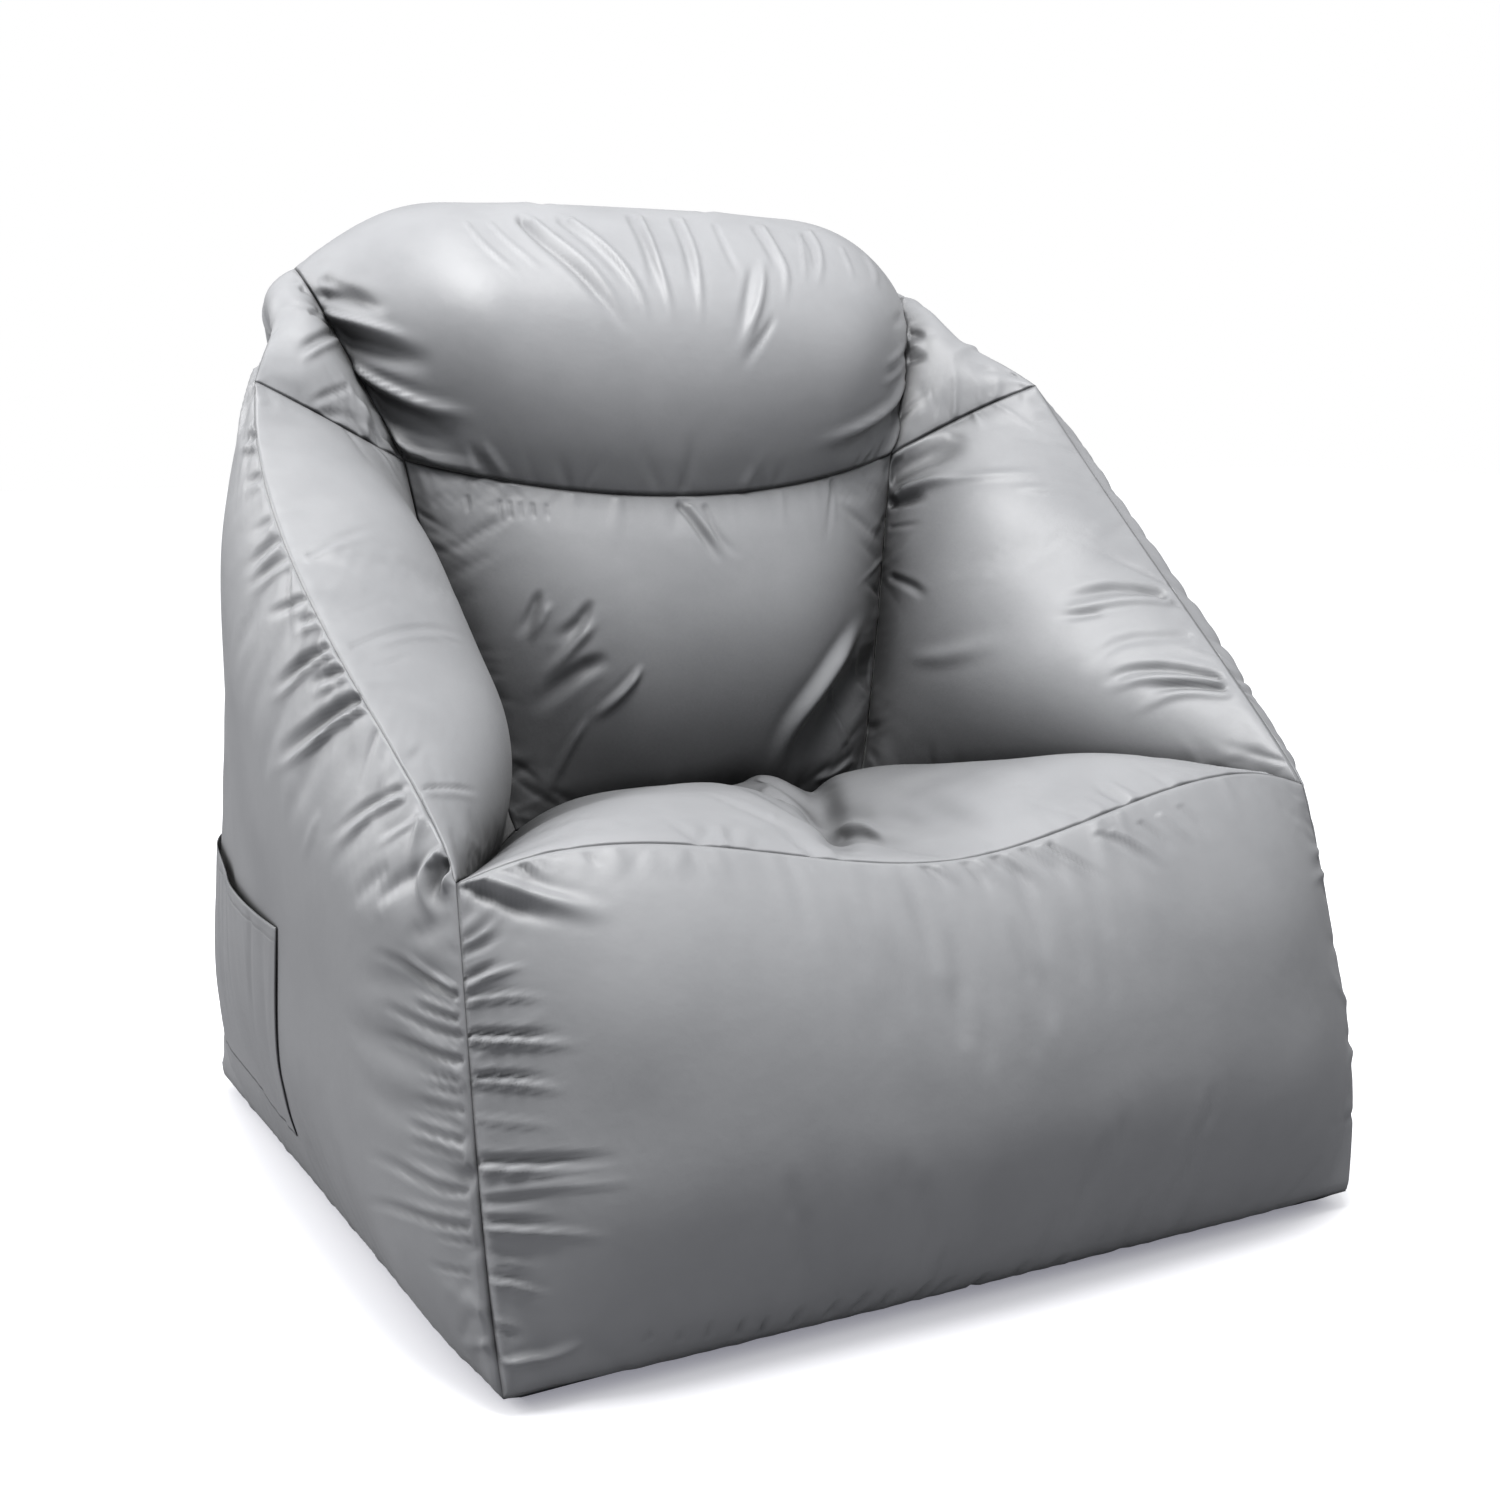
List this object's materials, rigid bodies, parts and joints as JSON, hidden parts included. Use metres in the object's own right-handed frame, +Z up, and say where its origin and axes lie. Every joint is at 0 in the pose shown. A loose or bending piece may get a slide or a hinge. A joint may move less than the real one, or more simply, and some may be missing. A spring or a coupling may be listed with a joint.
{
  "type": "inflatable pouf",
  "caption": "Inflatable lounge chair: an air bladder with tie webs in a sewn, zipped fabric cover with a side pocket and an air valve.",
  "frame": {"origin": "on the floor, under the middle of the chair's box", "axes": "+Z up, -Y towards the front, +X towards the right arm as seen from the front"},
  "size_m": [0.9632, 0.9156, 0.9453],
  "materials": {
    "cover_cloth": "coated woven polyester, light grey, with a satin sheen",
    "base_cloth": "heavier coated cloth, dark grey, matte",
    "bladder_film": "clear-grey flexible film, smooth",
    "zip_tape": "woven tape with moulded teeth, dark grey",
    "zip_metal": "die-cast zinc, satin grey",
    "dark_plastic": "moulded plastic, dark grey, matte",
    "valve_plastic": "moulded plastic, pale grey, smooth",
    "membrane_rubber": "soft silicone sheet, pale"
  },
  "bodies": {
    "chair": {"front_panel": "cover_cloth", "seat_panel": "cover_cloth", "backrest_panel": "cover_cloth", "headrest_panel": "cover_cloth", "right_inner_arm_panel": "cover_cloth", "left_inner_arm_panel": "cover_cloth", "right_shoulder_panel": "cover_cloth", "left_shoulder_panel": "cover_cloth", "right_side_panel": "cover_cloth", "left_side_panel": "cover_cloth", "rear_lower_panel": "cover_cloth", "rear_upper_panel": "cover_cloth", "side_pocket": "cover_cloth", "base_panel": "base_cloth", "air_bladder": "bladder_film", "right_arm_web": "bladder_film", "left_arm_web": "bladder_film", "seat_rear_web": "bladder_film", "seat_centre_web": "bladder_film", "head_tie_web": "bladder_film", "zip_tape_upper": "zip_tape", "zip_tape_lower": "zip_tape", "zip_stop_left": "zip_metal", "zip_stop_right": "zip_metal", "port_ring": "dark_plastic", "valve_base": "valve_plastic", "valve_strap": "dark_plastic"},
    "slider": {"zip_slider": "zip_metal"},
    "pull": {"zip_pull": "zip_metal"},
    "insert": {"valve_insert": "valve_plastic", "valve_membrane": "membrane_rubber"},
    "cap": {"valve_cap": "dark_plastic"}
  },
  "joints": [
    {"name": "zip_slide", "type": "slide", "parent": "chair", "child": "slider", "axis": [1, 0, 0], "range_m": [-0.5564, 0]},
    {"name": "zip_pull_swing", "type": "hinge", "parent": "slider", "child": "pull", "pos_m": [0.2782, 0.4499, 0.24], "axis": [0, 0, -1], "range_deg": [0, 170]},
    {"name": "valve_insert_turn", "type": "hinge", "parent": "chair", "child": "insert", "pos_m": [0.2, 0.44745, 0.36], "axis": [0, 1, 0], "range_deg": [0, 540]},
    {"name": "valve_cap_swing", "type": "hinge", "parent": "chair", "child": "cap", "pos_m": [0.2, 0.4554, 0.3255], "axis": [-1, 0, 0], "range_deg": [0, 150]}
  ]
}
